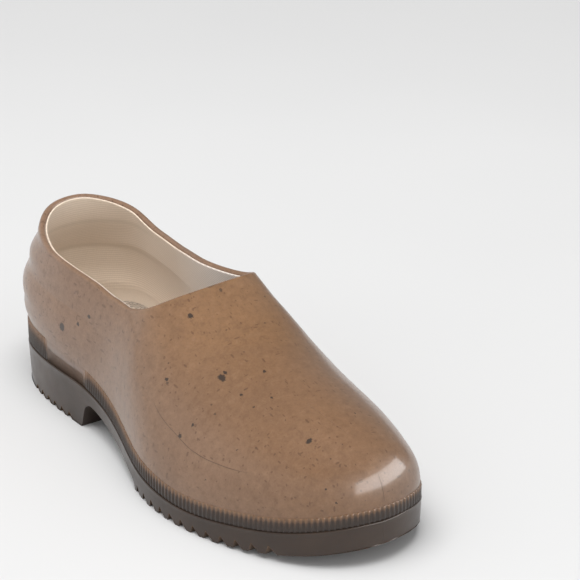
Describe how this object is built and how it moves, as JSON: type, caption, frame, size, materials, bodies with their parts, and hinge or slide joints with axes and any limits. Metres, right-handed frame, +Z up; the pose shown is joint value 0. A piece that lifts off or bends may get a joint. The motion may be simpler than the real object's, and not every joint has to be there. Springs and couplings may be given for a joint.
{
  "type": "slip-on garden clog",
  "caption": "Moulded rubber slip-on garden clog for the right foot, with a ribbed foxing band, low heel, lugged chevron sole and removable footbed.",
  "frame": {"origin": "on the floor, under the middle of the clog's box", "axes": "+Z up, +Y to the heel, toe towards -Y, +X to the medial (inner) side"},
  "size_m": [0.1032, 0.2658, 0.0897],
  "materials": {
    "upper_rubber": "satin, translucent tan with dark plant-fibre flecks",
    "sole_rubber": "satin, dark translucent brown",
    "lining_knit": "fine ribbed knit",
    "footbed_foam": "closed-cell foam",
    "footbed_felt": "speckled felt"
  },
  "bodies": {
    "clog": {"upper_shell": "upper_rubber", "outsole": "sole_rubber", "sock_lining": "lining_knit"},
    "footbed": {"footbed_foam": "footbed_foam", "footbed_felt": "footbed_felt"}
  },
  "joints": [
    {"name": "footbed_lift", "type": "hinge", "parent": "clog", "child": "footbed", "pos_m": [0.012, -0.12642, 0.0225], "axis": [1, 0, 0], "range_deg": [0, 6]}
  ]
}
